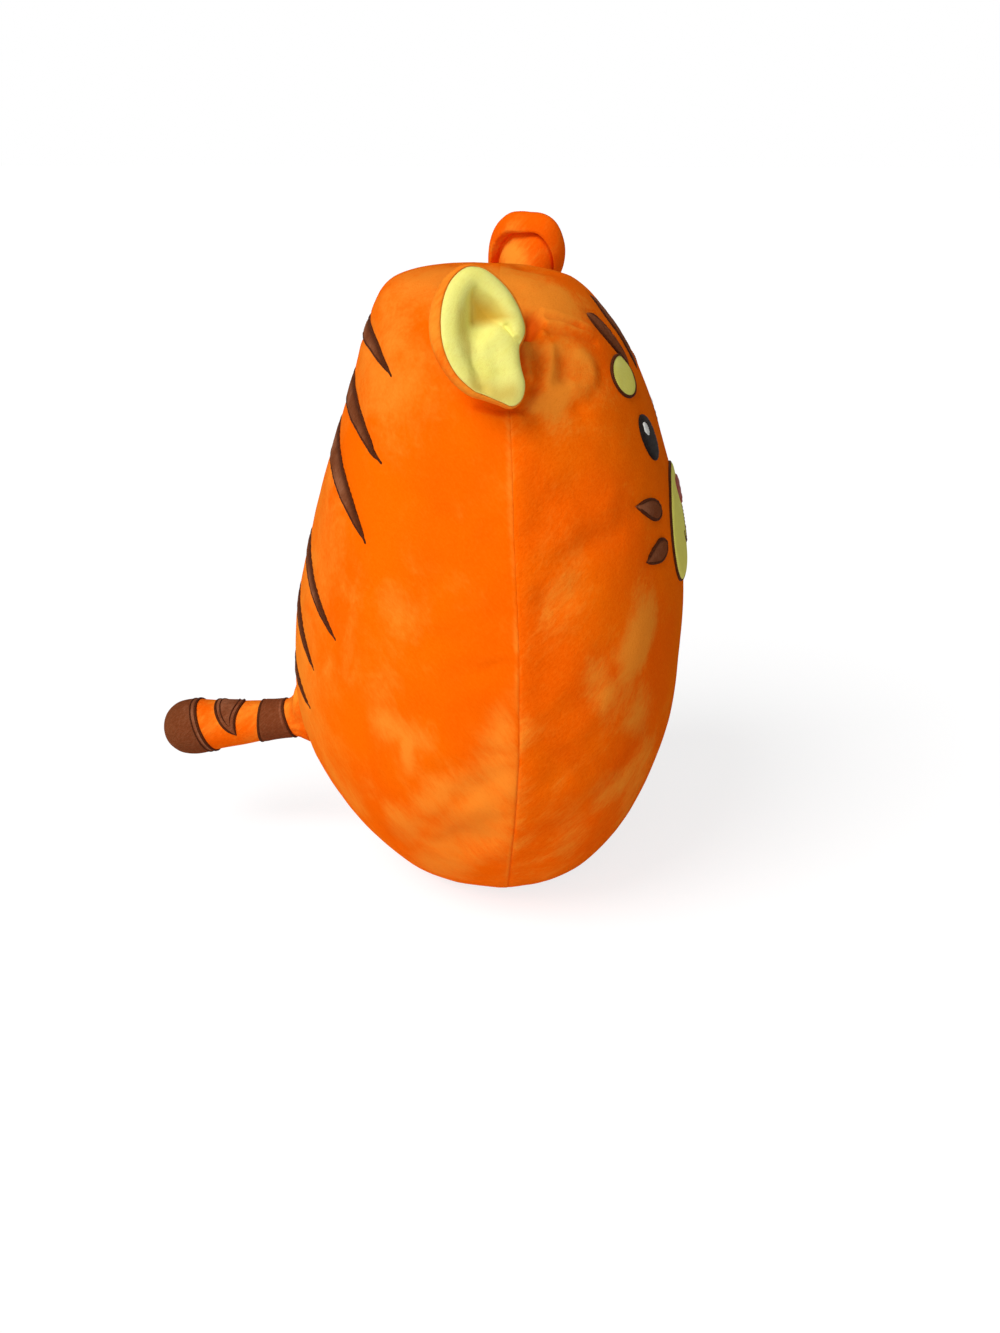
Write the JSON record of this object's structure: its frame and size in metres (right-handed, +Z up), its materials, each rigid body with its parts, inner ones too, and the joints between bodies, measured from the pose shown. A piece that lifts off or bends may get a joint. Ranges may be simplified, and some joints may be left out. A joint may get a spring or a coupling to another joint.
{
  "type": "plush tiger",
  "caption": "Egg-shaped stuffed plush tiger with cupped ears, applique stripes, an embroidered face and a short tail that bends.",
  "frame": {"origin": "on the flat of the base, under the middle of the body", "axes": "+Z up through the crown, -Y the way the face looks, +X to the tiger's own left"},
  "size_m": [0.2272, 0.2711, 0.3088],
  "materials": {
    "orange_plush": "matte",
    "brown_plush": "matte",
    "cream_plush": "matte",
    "fibre_filling": "matte",
    "black_thread": "satin",
    "white_thread": "satin",
    "rosy_thread": "satin",
    "brown_thread": "satin"
  },
  "bodies": {
    "body": {"front_panel": "orange_plush", "back_panel": "orange_plush", "body_filling": "fibre_filling", "back_stripe_1": "brown_plush", "back_stripe_2": "brown_plush", "back_stripe_3": "brown_plush", "back_stripe_4": "brown_plush", "back_stripe_5": "brown_plush", "back_stripe_6": "brown_plush", "middle_forehead_stripe": "brown_plush", "left_forehead_stripe": "brown_plush", "left_upper_cheek_stripe": "brown_plush", "left_lower_cheek_stripe": "brown_plush", "right_forehead_stripe": "brown_plush", "right_upper_cheek_stripe": "brown_plush", "right_lower_cheek_stripe": "brown_plush", "left_brow_spot": "cream_plush", "right_brow_spot": "cream_plush", "muzzle_patch": "cream_plush", "nose": "rosy_thread", "mouth": "brown_thread", "left_eye": "black_thread", "left_eye_glint": "white_thread", "right_eye": "black_thread", "right_eye_glint": "white_thread"},
    "left_ear": {"left_ear_back": "orange_plush", "left_ear_lining": "cream_plush"},
    "right_ear": {"right_ear_back": "orange_plush", "right_ear_lining": "cream_plush"},
    "tail_root": {"tail_root_sleeve": "orange_plush", "tail_root_filling": "fibre_filling", "tail_band": "brown_plush"},
    "tail_end": {"tail_end_sleeve": "orange_plush", "tail_tip_cap": "brown_plush", "tail_patch": "brown_plush", "tail_end_filling": "fibre_filling"}
  },
  "joints": [
    {"name": "left_ear_bend", "type": "hinge", "parent": "body", "child": "left_ear", "pos_m": [0.07644, -0.0184, 0.26625], "axis": [-0.6204, 0.0906, 0.779], "range_deg": [-30, 15], "stiffness_Nm_per_rad": 0.03},
    {"name": "right_ear_bend", "type": "hinge", "parent": "body", "child": "right_ear", "pos_m": [-0.07644, -0.0184, 0.26625], "axis": [-0.6204, -0.0906, -0.779], "range_deg": [-30, 15], "stiffness_Nm_per_rad": 0.03},
    {"name": "tail_lift", "type": "hinge", "parent": "body", "child": "tail_root", "pos_m": [0, 0.09387, 0.06973], "axis": [1, 0, 0], "range_deg": [-30, 20], "stiffness_Nm_per_rad": 0.15},
    {"name": "tail_swing", "type": "hinge", "parent": "tail_root", "child": "tail_end", "pos_m": [0, 0.12315, 0.06613], "axis": [0, 0.1219, 0.9925], "range_deg": [-25, 25], "stiffness_Nm_per_rad": 0.1}
  ]
}
